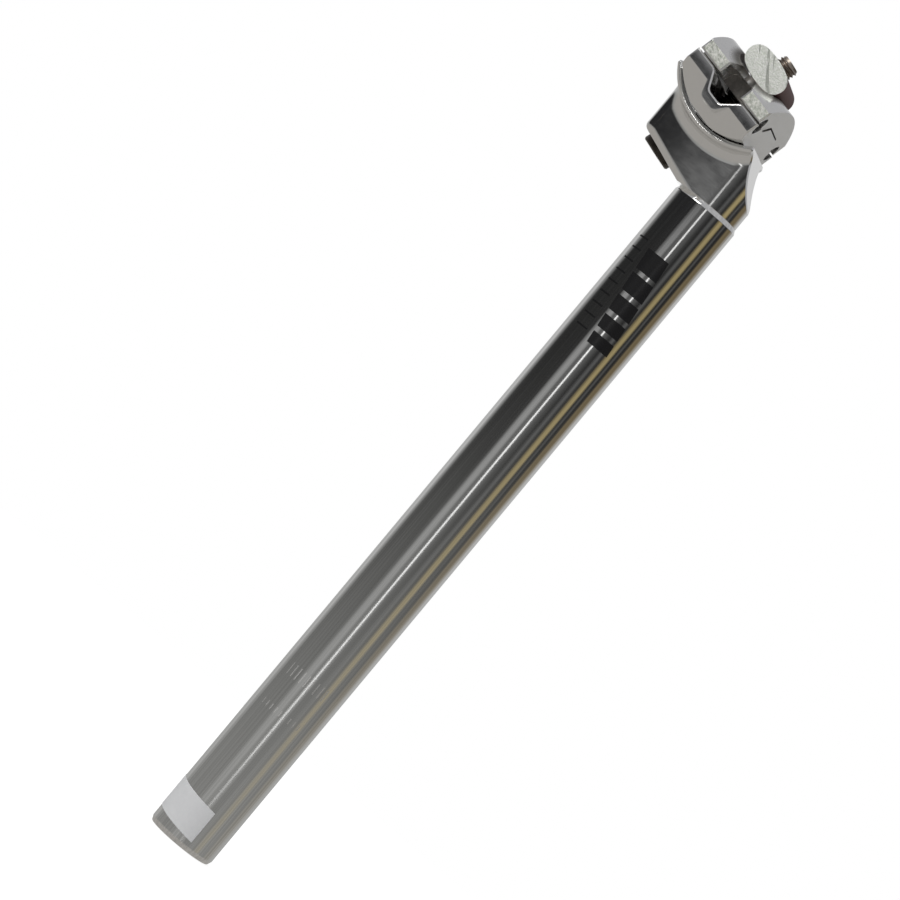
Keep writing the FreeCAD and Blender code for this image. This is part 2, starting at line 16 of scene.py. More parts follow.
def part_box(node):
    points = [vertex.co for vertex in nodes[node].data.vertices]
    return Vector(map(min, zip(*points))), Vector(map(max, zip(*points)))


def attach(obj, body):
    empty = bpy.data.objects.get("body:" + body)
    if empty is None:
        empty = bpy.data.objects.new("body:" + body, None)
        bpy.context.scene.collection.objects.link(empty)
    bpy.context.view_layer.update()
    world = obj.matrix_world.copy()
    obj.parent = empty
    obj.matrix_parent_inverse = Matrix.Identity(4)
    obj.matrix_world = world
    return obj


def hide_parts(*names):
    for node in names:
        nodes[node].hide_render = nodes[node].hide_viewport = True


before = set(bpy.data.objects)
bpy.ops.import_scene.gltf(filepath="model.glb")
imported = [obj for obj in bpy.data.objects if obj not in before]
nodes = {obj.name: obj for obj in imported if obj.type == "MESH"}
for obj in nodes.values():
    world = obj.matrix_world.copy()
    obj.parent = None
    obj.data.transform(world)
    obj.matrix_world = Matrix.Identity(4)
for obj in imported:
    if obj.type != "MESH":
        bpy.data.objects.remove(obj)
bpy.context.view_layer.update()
MM = 0.001
print("pieces of the model:", sorted(nodes))

# %% [markdown]
# ## The camera
#
# The post is seen a little from its front, at the height of its middle, through a long lens from
# 1.4 m away. It leans to the right in the picture. Instead of leaning the post, the camera is
# rolled: its three axes are written down as the columns of a matrix, which is exact and short.

# %% Camera
CAMERA_AZIMUTH = math.radians(12.0)
CAMERA_DISTANCE = 1.4
CAMERA_ROLL = math.radians(39.82)
FOCAL_PIXELS = 4166.7
PICTURE_WIDTH = 900
SENSOR_WIDTH = 36.0
AIM_SIDEWAYS = -14.45 * MM
AIM_HEIGHT = 159.2 * MM

sideways = Vector((math.cos(CAMERA_AZIMUTH), math.sin(CAMERA_AZIMUTH), 0.0))
to_camera = Vector((math.sin(CAMERA_AZIMUTH), -math.cos(CAMERA_AZIMUTH), 0.0))
upright = Vector((0.0, 0.0, 1.0))
picture_right = sideways * math.cos(CAMERA_ROLL) + upright * math.sin(CAMERA_ROLL)
picture_up = upright * math.cos(CAMERA_ROLL) - sideways * math.sin(CAMERA_ROLL)
aim = sideways * AIM_SIDEWAYS + upright * AIM_HEIGHT

camera_data = bpy.data.cameras.new("camera")
camera_data.sensor_width = SENSOR_WIDTH
camera_data.lens = FOCAL_PIXELS / PICTURE_WIDTH * SENSOR_WIDTH
camera = bpy.data.objects.new("camera", camera_data)
bpy.context.scene.collection.objects.link(camera)
axes = Matrix((picture_right, picture_up, to_camera)).transposed().to_4x4()
camera.matrix_world = Matrix.Translation(aim + to_camera * CAMERA_DISTANCE) @ axes
bpy.context.scene.camera = camera
bpy.context.scene.view_settings.view_transform = "Standard"
print(f"lens {camera_data.lens:.1f} mm, camera at {tuple(round(c, 3) for c in camera.location)}")

# %% [markdown]
# ## Building node trees
#
# Materials and the world are node trees. Trees could be drawn by hand in the Shader Editor; written
# as code, they can be read and made again. A few helpers keep the cells short. The first adds a node
# and sets its properties and inputs. The next ones do a sum, map one range to another, pick a colour
# from a ramp and mix two colours. The last turns screen levels into the light that nodes work with.

# %% Node helpers


def add_node(tree, kind, inputs=None, **settings):
    """Adds a node. inputs maps a socket's name or number to a value, or to a socket to link from."""
    node = tree.nodes.new(kind)
    for name, value in settings.items():
        setattr(node, name, value)
    for socket, value in (inputs or {}).items():
        if isinstance(value, bpy.types.NodeSocket):
            tree.links.new(value, node.inputs[socket])
        else:
            node.inputs[socket].default_value = value
    return node


def sums(tree, operation, first, second=0.0, third=0.0):
    """The result of one Math node."""
    node = add_node(tree, "ShaderNodeMath", {0: first, 1: second, 2: third}, operation=operation)
    return node.outputs[0]


def remap(tree, value, low, high, to_low=0.0, to_high=1.0):
    """Maps a value from one range to another, smoothly and without leaving it."""
    node = add_node(tree, "ShaderNodeMapRange", {0: value, 1: low, 2: high, 3: to_low, 4: to_high},
                    interpolation_type="SMOOTHSTEP")
    return node.outputs[0]


def ramp(tree, value, stops, interpolation="LINEAR"):
    """A Color Ramp. Each stop is a position from 0 to 1 and a colour."""
    node = add_node(tree, "ShaderNodeValToRGB", {0: value})
    node.color_ramp.interpolation = interpolation
    elements = node.color_ramp.elements
    while len(elements) < len(stops):
        elements.new(0.5)
    for element, (place, colour) in zip(elements, stops):
        element.position = place
        element.color = (*colour, 1.0)
    return node.outputs[0]


def mix_colours(tree, share, first, second):
    """A Mix node for colours: share 0 gives the first, 1 the second."""
    node = add_node(tree, "ShaderNodeMix", data_type="RGBA")
    sockets = [node.inputs[0], node.inputs[6], node.inputs[7]]
    for socket, value in zip(sockets, (share, first, second)):
        if isinstance(value, bpy.types.NodeSocket):
            tree.links.new(value, socket)
        elif isinstance(value, tuple):
            socket.default_value = (*value, 1.0)
        else:
            socket.default_value = value
    return node.outputs[2]


def linear(*levels):
    """Screen colour levels, 0 to 255, as the linear colour that Blender's nodes work with."""
    shares = [level / 255 for level in levels]
    if len(shares) == 1:
        shares = shares * 3
    return tuple(c / 12.92 if c <= 0.04045 else ((c + 0.055) / 1.055) ** 2.4 for c in shares)


print("helpers ready; screen grey 128 is", round(linear(128)[0], 3), "in linear light")

# %% [markdown]
# ## The studio that the metal mirrors
#
# A mirror-polished tube has hardly any colour of its own. It shows the room: dark flags, grey
# cards, a warm card in front and the white sweep behind it, each as a stripe along the tube.
# The stripes could be cards of their own, but then they would stand in the way of other views.
# So the room is painted on the world, by direction. The angle round the post, counted from the
# camera, picks the card. Six plain tones are enough for all of them, and between two cards the ramp
# fades from one tone to the next, like the blurred edge of a real card. The height of the direction
# blends the cards into a pale floor below and a dark wall and a soft ceiling above. The camera sees
# a plain white backdrop, and so does metal that mirrors what is straight behind the post.

# %% Studio cards, by the angle round the post
WHITE_CARD = linear(190)
PALE_CARD = linear(150)
GREY_CARD = linear(85)
DARK_CARD = linear(42)
GOLD_CARD = linear(160, 145, 105)
TAN_CARD = linear(110, 98, 75)
REAR_CARDS = [
    (-180, -138, WHITE_CARD),
    (-110, -40, DARK_CARD),
    (-28, -19, PALE_CARD),
    (-13, 0, GREY_CARD),
]
FRONT_CARDS = [
    (0, 6, GREY_CARD),
    (24, 28, DARK_CARD),
    (34, 37, GREY_CARD),
    (44, 49, DARK_CARD),
    (58, 66, GOLD_CARD),
    (72, 76, DARK_CARD),
    (81, 82, GREY_CARD),
    (87, 94, DARK_CARD),
    (101, 117, TAN_CARD),
    (142, 180, WHITE_CARD),
]


def card_stops(cards, first_angle):
    """Two Color Ramp stops for each card, so that neighbouring cards fade into each other."""
    edges = [(angle, tone) for start, end, tone in cards for angle in (start, end)]
    return [((angle - first_angle) / 180, tone) for angle, tone in edges]


world = bpy.data.worlds.new("studio")
bpy.context.scene.world = world
world.use_nodes = True
room = world.node_tree
room.nodes.clear()
direction = add_node(room, "ShaderNodeTexCoord").outputs["Generated"]
facing_angle = math.radians(90.0) - CAMERA_AZIMUTH
turned = add_node(room, "ShaderNodeVectorRotate", {"Vector": direction, "Angle": facing_angle},
                  rotation_type="Z_AXIS")
parts = add_node(room, "ShaderNodeSeparateXYZ", {0: turned.outputs[0]})
height = parts.outputs[2]
round_angle = sums(room, "ARCTAN2", parts.outputs[1], parts.outputs[0])
half_turns = sums(room, "DIVIDE", round_angle, math.pi)
rear = ramp(room, sums(room, "ADD", half_turns, 1.0), card_stops(REAR_CARDS, -180))
front = ramp(room, half_turns, card_stops(FRONT_CARDS, 0))
cards = mix_colours(room, sums(room, "GREATER_THAN", round_angle, 0.0), rear, front)
print(len(REAR_CARDS) + len(FRONT_CARDS), "cards round the post")

# %% Floor, wall and ceiling of the studio
# A pair of heights or turns says where a part of the studio begins and where it is full. Heights are
# those of the direction, where 1 is straight up, and turns are half turns from the camera. Over
# CARD_TOP_TURNS the cards' top edge rises from the first of CARD_TOPS to the second.
HAZE = linear(158, 158, 156)
FLOOR_LIGHT = linear(161, 158, 154)
WALL_LIGHT = linear(34, 34, 36)
SWEEP_LIGHT = linear(214)
CEILING_LIGHT = linear(172, 172, 174)
HAZE_HEIGHTS = (0.04, -0.14)
HAZE_SHARE = 0.80
FLOOR_HEIGHTS = (-0.08, -0.45)
CARD_TOP_TURNS = (-0.10, -0.05)
CARD_TOPS = (0.078, 0.17)
CARD_EDGE = 0.01
SWEEP_TURNS = (0.66, 0.80)
CEILING_HEIGHTS = (0.13, 0.45)

turned_away = sums(room, "ABSOLUTE", half_turns)
hazy = mix_colours(room, remap(room, height, *HAZE_HEIGHTS, 0.0, HAZE_SHARE), cards, HAZE)
lower = mix_colours(room, remap(room, height, *FLOOR_HEIGHTS), hazy, FLOOR_LIGHT)
card_top = remap(room, half_turns, *CARD_TOP_TURNS, *CARD_TOPS)
wall_foot = sums(room, "ADD", card_top, CARD_EDGE)
wall = mix_colours(room, remap(room, turned_away, *SWEEP_TURNS), WALL_LIGHT, SWEEP_LIGHT)
walled = mix_colours(room, remap(room, height, card_top, wall_foot), lower, wall)
whole = mix_colours(room, remap(room, height, *CEILING_HEIGHTS), walled, CEILING_LIGHT)
print("studio painted from the floor to the ceiling")

# %% White backdrop
BACKDROP_TURNS = (0.94, 0.97)
BACKDROP_HEIGHTS = (0.17, 0.12)

rays = add_node(room, "ShaderNodeLightPath").outputs
mirrored = sums(room, "MAXIMUM", rays["Is Glossy Ray"], rays["Is Transmission Ray"])
straight_back = remap(room, turned_away, *BACKDROP_TURNS)
level_back = remap(room, sums(room, "ABSOLUTE", height), *BACKDROP_HEIGHTS)
backdrop = sums(room, "MULTIPLY", straight_back, level_back)
seen = sums(room, "MAXIMUM", rays["Is Camera Ray"], sums(room, "MULTIPLY", mirrored, backdrop))
studio = add_node(room, "ShaderNodeBackground", {"Color": whole, "Strength": 1.0})
sweep = add_node(room, "ShaderNodeBackground", {"Color": (1, 1, 1, 1), "Strength": 1.0})
choice = add_node(room, "ShaderNodeMixShader", {0: seen, 1: studio.outputs[0], 2: sweep.outputs[0]})
add_node(room, "ShaderNodeOutputWorld", {"Surface": choice.outputs[0]})
print("world built from", len(room.nodes), "nodes")

# %% [markdown]
# ## Lamps and floor
#
# A large soft lamp, to the left of the camera and above it, lights the ground faces and the paper
# sticker. A slim strip lamp next to the camera makes the white line that runs down the middle of the
# tube. A real studio has both on stands; as area lamps they are hidden from the camera, and only
# their light and their mirror image remain. The floor is a pale disc that is white to the camera
# where no shadow falls on it. The world already paints the floor that metal mirrors, so the disc
# itself is left out of reflections.

# %% Lamps


def soft_lamp(name, angle, rise, distance, width, length, power, colour):
    """A rectangular lamp that looks at the post's middle, placed by its angle from the camera."""
    data = bpy.data.lights.new(name, "AREA")
    data.shape = "RECTANGLE"
    data.size = width
    data.size_y = length
    data.energy = power
    data.color = colour
    lamp = bpy.data.objects.new(name, data)
    bpy.context.scene.collection.objects.link(lamp)
    turn = math.radians(angle)
    lift = math.radians(rise)
    level = to_camera * math.cos(turn) + sideways * math.sin(turn)
    outward = level * math.cos(lift) + upright * math.sin(lift)
    lamp.location = aim + outward * distance
    lamp.rotation_euler = outward.to_track_quat("Z", "Y").to_euler()
    lamp.visible_camera = False
    print(f"{name}: {power} W, {width} m x {length} m")


soft_lamp("key_lamp", angle=-45.0, rise=40.0, distance=1.7, width=0.7, length=0.5, power=10.5,
          colour=(1.0, 0.99, 0.97))
soft_lamp("strip_lamp", angle=-0.4, rise=0.0, distance=1.9, width=0.15, length=0.62, power=0.28,
          colour=(1.0, 1.0, 1.0))

# %% Floor
FLOOR_RADIUS = 0.62
FLOOR_SEGMENTS = 96
FLOOR_DROP = 0.3 * MM
PAPER_MATT = (0.42, 0.42, 0.42, 1.0)
PAPER_GLOW = (0.86, 0.86, 0.86, 1.0)
PAPER_DIM = (0.75, 0.75, 0.74, 1.0)

floor_mesh = bmesh.new()
bmesh.ops.create_circle(floor_mesh, cap_ends=True, radius=FLOOR_RADIUS, segments=FLOOR_SEGMENTS)
floor_data = bpy.data.meshes.new("floor")
floor_mesh.to_mesh(floor_data)
floor_mesh.free()
floor = bpy.data.objects.new("floor", floor_data)
floor.location.z = -FLOOR_DROP
bpy.context.scene.collection.objects.link(floor)
floor.visible_glossy = False

paper = bpy.data.materials.new("floor_paper")
paper.use_nodes = True
sheet = paper.node_tree
sheet.nodes.clear()
matt = add_node(sheet, "ShaderNodeBsdfDiffuse", {"Color": PAPER_MATT})
glow = add_node(sheet, "ShaderNodeEmission", {"Color": PAPER_GLOW, "Strength": 1.0})
both = add_node(sheet, "ShaderNodeAddShader", {0: matt.outputs[0], 1: glow.outputs[0]})
dim = add_node(sheet, "ShaderNodeBsdfDiffuse", {"Color": PAPER_DIM})
to_eye = add_node(sheet, "ShaderNodeLightPath").outputs["Is Camera Ray"]
lit = add_node(sheet, "ShaderNodeMixShader", {0: to_eye, 1: dim.outputs[0], 2: both.outputs[0]})
add_node(sheet, "ShaderNodeOutputMaterial", {"Surface": lit.outputs[0]})
floor_data.materials.append(paper)
print("floor radius", FLOOR_RADIUS, "m")

# %% [markdown]
# ## Finishes
#
# Every finish starts from a Principled BSDF with metal or paint values, and a texture that breaks
# up its roughness, because no polished part is equally smooth all over. The textures use Object
# coordinates: they stay on the part when it moves, and a millimetre is a millimetre. Polished edges
# are never quite sharp, so the bump helper can also soften them with a Bevel node, which leaves the
# mesh as it is.

# %% Finish helpers
EDGE_SAMPLES = 6


def new_finish(name, metallic, roughness, colour):
    """A material with a Principled BSDF. Returns the material, its tree and the shader."""
    material = bpy.data.materials.new(name)
    material.use_nodes = True
    tree = material.node_tree
    shader = tree.nodes["Principled BSDF"]
    shader.inputs["Metallic"].default_value = metallic
    shader.inputs["Roughness"].default_value = roughness
    shader.inputs["Base Color"].default_value = (*colour, 1.0)
    return material, tree, shader


def stretched_noise(tree, scale, detail=3.0, roughness=0.55):
    """Noise on Object coordinates, with its own scale in X, Y and Z, per metre."""
    place = add_node(tree, "ShaderNodeTexCoord").outputs["Object"]
    mapped = add_node(tree, "ShaderNodeMapping", {"Vector": place, "Scale": scale})
    noise = add_node(tree, "ShaderNodeTexNoise", {"Vector": mapped.outputs[0], "Scale": 1.0,
                                                  "Detail": detail, "Roughness": roughness})
    return noise.outputs[0]


def bump(tree, shader, value, depth, edge_radius=0.0):
    """Feeds a height texture, with its depth in metres, to the shader, and softens edges if asked."""
    node = add_node(tree, "ShaderNodeBump", {"Height": value, "Distance": depth, "Strength": 1.0})
    if edge_radius:
        rounded = add_node(tree, "ShaderNodeBevel", {"Radius": edge_radius}, samples=EDGE_SAMPLES)
        tree.links.new(rounded.outputs[0], node.inputs["Normal"])
    tree.links.new(node.outputs[0], shader.inputs["Normal"])


def dress(piece, material):
    """Gives a piece one material, in place of any it came with."""
    piece.data.materials.clear()
    piece.data.materials.append(material)


print("finish helpers ready")

# %% [markdown]
# ### Mirror-polished tube
#
# The tube was drawn and then buffed lengthwise, so its lines and finest scratches run along it:
# noise that is stretched some two hundred times along Z. It could be an anisotropic shader, but
# noise also gives the single lines that can be seen. Towards the foot the polish is less perfect,
# and the roughness rises.

# %% Bare metal of the tube
BUFFING_SCALE = (2600.0, 2600.0, 14.0)
BUFFING_DEPTH = 0.000002
BUFFING_ROUGHNESS = 0.05
CLOUD_SCALE = (60.0, 60.0, 25.0)
CLOUD_ROUGHNESS = 0.03
DRAWN_SCALE = (800.0, 800.0, 3.0)
DRAWN_TONES = ((0.74, 0.74, 0.73), (1.0, 1.0, 0.99))
POLISH_HEIGHTS = (0.25, 0.0)
POLISH_ROUGHNESS = (0.055, 0.12)

tube_finish, tree, shader = new_finish("mirror_polish", 1.0, 0.07, (0.90, 0.90, 0.89))
place = add_node(tree, "ShaderNodeTexCoord").outputs["Object"]
along = add_node(tree, "ShaderNodeSeparateXYZ", {0: place})
tube_height = along.outputs[2]
tube_angle = sums(tree, "ARCTAN2", along.outputs[1], along.outputs[0])
buffing = stretched_noise(tree, BUFFING_SCALE)
clouds = stretched_noise(tree, CLOUD_SCALE, detail=2.0)
drawn_lines = stretched_noise(tree, DRAWN_SCALE, detail=5.0, roughness=0.75)
polish = remap(tree, tube_height, *POLISH_HEIGHTS, *POLISH_ROUGHNESS)
scratched = sums(tree, "MULTIPLY_ADD", buffing, BUFFING_ROUGHNESS, polish)
clouded = sums(tree, "MULTIPLY_ADD", clouds, CLOUD_ROUGHNESS, scratched)
bare_colour = mix_colours(tree, remap(tree, drawn_lines, 0.30, 0.70), *DRAWN_TONES)
bump(tree, shader, buffing, BUFFING_DEPTH)
print("bare tube from", len(tree.nodes), "nodes")

# %% [markdown]
# ### Marks on the tube
#
# Printed bars and two rows of matt tick marks are part of the tube's finish. They could be thin
# sheets laid on the tube, but ink has no thickness that shows. A ramp along the height switches
# between metal and black ink, and a slanted limit round the tube ends the bars. The ticks come from
# Compare nodes: one for the angle within each step round the tube, one for the side that carries
# them, and one for each row's height.

# %% Printed bars
# Heights on the tube in metres, limits round it in degrees
INK_LOW = 0.20
INK_SPAN = 0.08
INK_MIDDLE = 0.235
INK_SLOPE = 9.0
WIDE_BARS = [(0.2160, 0.2205), (0.2222, 0.2275), (0.2292, 0.2353), (0.2370, 0.2439), (0.2456, 0.2533)]
WIDE_LIMITS = (-100.0, -60.0)
FINE_FOOT = 0.2190
FINE_HEIGHT = 0.0006
FINE_STEP = 0.0045
FINE_COUNT = 9
FINE_LIMITS = (-134.0, -110.0)


def ink_bars(tree, bars, rear, front):
    """1 on bars of ink: between their heights, and between two slanted limits round the tube."""
    stops = [(0.0, (0.0, 0.0, 0.0))]
    for low, high in bars:
        stops.append(((low - INK_LOW) / INK_SPAN, (1.0, 1.0, 1.0)))
        stops.append(((high - INK_LOW) / INK_SPAN, (0.0, 0.0, 0.0)))
    share = sums(tree, "DIVIDE", sums(tree, "SUBTRACT", tube_height, INK_LOW), INK_SPAN)
    striped = ramp(tree, share, stops, interpolation="CONSTANT")
    above = sums(tree, "SUBTRACT", tube_height, INK_MIDDLE)
    slant = sums(tree, "MULTIPLY_ADD", above, INK_SLOPE, tube_angle)
    behind = sums(tree, "GREATER_THAN", slant, math.radians(rear))
    ahead = sums(tree, "LESS_THAN", slant, math.radians(front))
    return sums(tree, "MULTIPLY", sums(tree, "MULTIPLY", behind, ahead), striped)


fine_feet = [FINE_FOOT + FINE_STEP * step for step in range(FINE_COUNT)]
fine_bars = [(foot, foot + FINE_HEIGHT) for foot in fine_feet]
wide_ink = ink_bars(tree, WIDE_BARS, *WIDE_LIMITS)
ink = sums(tree, "MAXIMUM", wide_ink, ink_bars(tree, fine_bars, *FINE_LIMITS))
print(len(WIDE_BARS), "wide bars and", len(fine_bars), "fine ones")

# %% Tick marks
TICKS_ROUND = 40
TICK_SHARE = 0.20
TICK_MIDDLE = math.radians(-84.0)
TICK_REACH = math.radians(39.0)
TICK_ROWS = [(0.0694, 0.0045), (0.0555, 0.0022)]
TICK_ROUGHNESS = 0.34

tick_turn = sums(tree, "FRACT", sums(tree, "MULTIPLY", tube_angle, TICKS_ROUND / (2 * math.pi)))
tick_line = sums(tree, "COMPARE", tick_turn, 0.5, TICK_SHARE / 2)
tick_side = sums(tree, "COMPARE", tube_angle, TICK_MIDDLE, TICK_REACH)
rows = [sums(tree, "COMPARE", tube_height, middle, length / 2) for middle, length in TICK_ROWS]
tick_column = sums(tree, "MULTIPLY", tick_line, tick_side)
tick = sums(tree, "MULTIPLY", tick_column, sums(tree, "MAXIMUM", *rows))
print(len(TICK_ROWS), "rows of ticks")

# %% Tube finish, joined
INK_COLOUR = (0.012, 0.012, 0.013)
INK_ROUGHNESS = 0.16

bare_roughness = sums(tree, "MULTIPLY_ADD", tick, TICK_ROUGHNESS, clouded)
inked_roughness = sums(tree, "MULTIPLY_ADD", ink, INK_ROUGHNESS, bare_roughness)
tree.links.new(mix_colours(tree, ink, bare_colour, INK_COLOUR), shader.inputs["Base Color"])
tree.links.new(sums(tree, "SUBTRACT", 1.0, ink), shader.inputs["Metallic"])
tree.links.new(inked_roughness, shader.inputs["Roughness"])
print("tube finish from", len(tree.nodes), "nodes")

# %% [markdown]
# ### Forged and polished alloy
#
# The head and the clamp halves were forged and then polished on a wheel. Their surface is a
# little wavy, with a haze of fine scratches. The upper clamp's pads are blasted, which makes them
# pale and grainy, and the ends of both halves are ground. Each of these could be a material slot of
# its own, but the model's meshes stay as they are, so one shader finds the faces. It asks which way
# the surface looks, square to the clamp, which is pitched forward, and how far a point is from the
# middle of the post, from the bolt and from the tilt axis.

# %% Places on a forging
TILT_AXIS = Vector((-12.75 * MM, 0.0, 322.0 * MM))
CLAMP_PITCH = math.radians(13.8)
FLAT_FACE = 0.985


def square_parts(tree, vector, pitch, centre=(0.0, 0.0, 0.0)):
    """The X, Y and Z of a vector, turned back so that a pitched piece is square to the axes."""
    turn = {"Vector": vector, "Center": centre, "Angle": -pitch}
    squared = add_node(tree, "ShaderNodeVectorRotate", turn, rotation_type="Y_AXIS")
    return add_node(tree, "ShaderNodeSeparateXYZ", {0: squared.outputs[0]}).outputs


def forging_place(tree, pitch):
    """Where a point of a forging lies, and 1 or 0 for whether it is on a flat side or end."""
    spot = add_node(tree, "ShaderNodeTexCoord").outputs
    post = add_node(tree, "ShaderNodeSeparateXYZ", {0: spot["Object"]}).outputs
    level = square_parts(tree, spot["Object"], pitch, TILT_AXIS)
    facing = square_parts(tree, spot["Normal"], pitch)
    return {
        "ahead": post[0],
        "outward": sums(tree, "ABSOLUTE", post[1]),
        "from_bolt": sums(tree, "ABSOLUTE", sums(tree, "SUBTRACT", level[0], TILT_AXIS.x)),
        "rise": sums(tree, "SUBTRACT", level[2], TILT_AXIS.z),
        "side": sums(tree, "GREATER_THAN", sums(tree, "ABSOLUTE", facing[1]), FLAT_FACE),
        "end": sums(tree, "GREATER_THAN", sums(tree, "ABSOLUTE", facing[0]), FLAT_FACE),
    }


print("tilt axis at", tuple(round(c, 4) for c in TILT_AXIS))

# %% [markdown]
# ### Painted shade in the hollows and round the trough
#
# Inside the clamp the colour is darkened as painted shade, where the hollows lie in shadow: near the
# middle of the post, and on the side walls that lie behind the pads. These places are also left
# rough. Round the nut's trough a painted contact shadow darkens the colour. The trough is an oval, so
# the distance from it is the distance from a short straight line, and the painted shadow fades out
# over a few millimetres.

# %% Painted shade and the painted shadow round the trough
SHADE_FADE = 2.0 * MM
TROUGH_STRAIGHT = 4.9 * MM
TROUGH_MIDDLE = 2.2 * MM
TROUGH_RADIUS = 5.9 * MM
TROUGH_SHADOW_RADIUS = 9.0 * MM


def opposite(tree, share):
    """1 where a share is 0, and 0 where it is 1."""
    return sums(tree, "SUBTRACT", 1.0, share)


def trough_shadow(tree, place):
    """Painted shadow: 1 in the nut's trough, fading out round it, but never on the flat sides."""
    along = sums(tree, "SUBTRACT", place["from_bolt"], TROUGH_STRAIGHT)
    past_straight = sums(tree, "MAXIMUM", along, 0.0)
    above_middle = sums(tree, "SUBTRACT", place["rise"], TROUGH_MIDDLE)
    squares = sums(tree, "MULTIPLY_ADD", above_middle, above_middle,
                   sums(tree, "MULTIPLY", past_straight, past_straight))
    near_nut = remap(tree, sums(tree, "SQRT", squares), TROUGH_SHADOW_RADIUS, TROUGH_RADIUS)
    return sums(tree, "MULTIPLY", near_nut, opposite(tree, place["side"]))


def painted_shade(tree, place, outermost, shade_within, trough):
    """1 where shade is painted: near the middle, on recessed side walls and in the trough."""
    inner = remap(tree, place["outward"], shade_within, shade_within - SHADE_FADE)
    middle = sums(tree, "MULTIPLY", opposite(tree, place["end"]), inner)
    recessed = sums(tree, "MULTIPLY", place["side"], opposite(tree, outermost))
    trough_shaded = sums(tree, "MULTIPLY", trough_shadow(tree, place), trough)
    return sums(tree, "MAXIMUM", sums(tree, "MAXIMUM", middle, recessed), trough_shaded)


# The painted shadow round the trough fades out over this distance.
print(f"grease fades out over {(TROUGH_SHADOW_RADIUS - TROUGH_RADIUS) / MM:.1f} mm")

# %% [markdown]
# ### Slightly rounded sides
#
# Polishing leaves no side quite flat. The head's sides turn in a little towards the rear, and the
# cradle's lips are crowned. Both could be modelled, but the model's meshes stay as they are, and a
# mirror shows a curve by its slope alone. So the two curves are heights for the bump: a parabola
# along the head, and one up the lips, which starts lower where the collar runs round the notch.

# %% Rounded sides
HEAD_BOW = 0.0026
HEAD_REACH = 0.029
LIP_FOOT = 16.1 * MM
LIP_CROWN = 11.0
COLLAR_MOUTH = 12.6 * MM
COLLAR_FOOT = 6.4 * MM
COLLAR_DROP = 3.3 * MM


def side_curve(tree, place, bow, crown):
    """How far a side falls back, in metres: the head's bow, and the lips' crown round the notch."""
    rearward = sums(tree, "DIVIDE", sums(tree, "MINIMUM", place["ahead"], 0.0), HEAD_REACH)
    bowed = sums(tree, "MULTIPLY", sums(tree, "MULTIPLY", rearward, rearward), bow)
    collar_drop = remap(tree, place["from_bolt"], COLLAR_MOUTH / 2, COLLAR_FOOT / 2, 0.0, COLLAR_DROP)
    above_foot = sums(tree, "ADD", sums(tree, "ADD", place["rise"], LIP_FOOT), collar_drop)
    rounding = sums(tree, "MAXIMUM", above_foot, 0.0)
    crowned = sums(tree, "MULTIPLY", sums(tree, "MULTIPLY", rounding, rounding), crown)
    return sums(tree, "MULTIPLY", sums(tree, "ADD", bowed, crowned), place["side"])


slope = 2 * HEAD_BOW / HEAD_REACH
print(f"the head's sides are shaded as if turned by {math.degrees(slope):.0f} degrees at the rear")

# %% [markdown]
# ### The forged finish, put together
#
# One function makes the finish for all three forgings, and each call says what that piece has: pads,
# recesses, painted shade inside, ground ends, a bow, a crown or a painted shadow round the trough.
# Haze sets how sharp the polish is, and grain roughens the ground faces. The bump adds waves and
# scratches where the wheel polished, grain where it was ground, and the rounded sides.

# %% Forged finish
ALLOY = (0.86, 0.86, 0.85)
POLISHED_TONES = ((0.84, 0.84, 0.83), (0.90, 0.90, 0.89))
BLASTED_TONES = ((0.50, 0.53, 0.46), (1.0, 1.0, 0.97))
# Colours of the painted shade in the hollows and round the trough.
SHADE_TONES = ((0.08, 0.076, 0.070), (0.30, 0.28, 0.26))
HAZE_SCALE = (420.0, 420.0, 420.0)
WAVE_SCALE = (140.0, 140.0, 140.0)
GRAIN_SCALE = (1500.0, 1500.0, 1500.0)
SCRATCH_SCALE = (500.0, 2200.0, 2200.0)
HAZE_ROUGHNESS = 0.10
HAZE_START = 0.04
GROUND_ROUGHNESS = (0.30, 0.36)
WAVE_DEPTH = 0.00003
SCRATCH_DEPTH = 0.0000025
GRAIN_DEPTH = 0.0001
POLISHED_EDGE = 0.35 * MM


